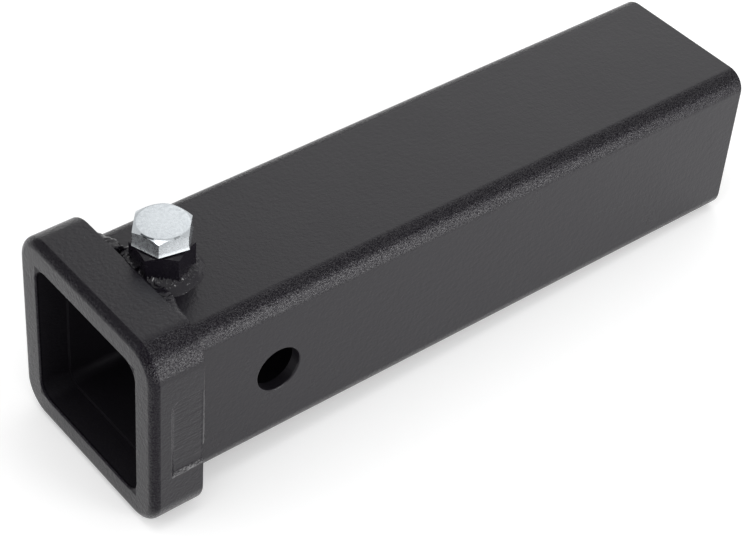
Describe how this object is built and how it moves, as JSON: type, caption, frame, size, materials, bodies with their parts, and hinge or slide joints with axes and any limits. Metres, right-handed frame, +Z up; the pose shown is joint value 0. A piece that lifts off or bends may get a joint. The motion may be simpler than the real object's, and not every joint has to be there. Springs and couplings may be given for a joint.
{
  "type": "receiver tube",
  "caption": "Square steel receiver tube with a raised collar round its mouth, a cross pin hole and a clamp bolt in a nut welded on top.",
  "frame": {"origin": "centre of the cross pin hole, on the tube's own axis", "axes": "+X along the tube from the collar towards its tail, +Z up towards the clamp bolt, +Y to the left seen from the mouth's side looking along +X"},
  "size_m": [0.254, 0.0746, 0.0863],
  "materials": {
    "black_paint": "satin black paint with a fine orange-peel grain",
    "zinc_plating": "bright zinc plating, slightly mottled"
  },
  "bodies": {
    "receiver": {"receiver_tube": "black_paint", "mouth_collar": "black_paint", "clamp_nut": "black_paint", "nut_weld": "black_paint", "collar_top_left_weld": "black_paint", "collar_top_right_weld": "black_paint", "collar_right_weld": "black_paint", "collar_left_weld": "black_paint", "collar_bottom_weld": "black_paint"},
    "bolt": {"clamp_bolt": "zinc_plating"}
  },
  "joints": [
    {"name": "bolt_travel", "type": "slide", "parent": "receiver", "child": "bolt", "axis": [0, 0, 1], "range_m": [-0.0006, 0.012]}
  ]
}
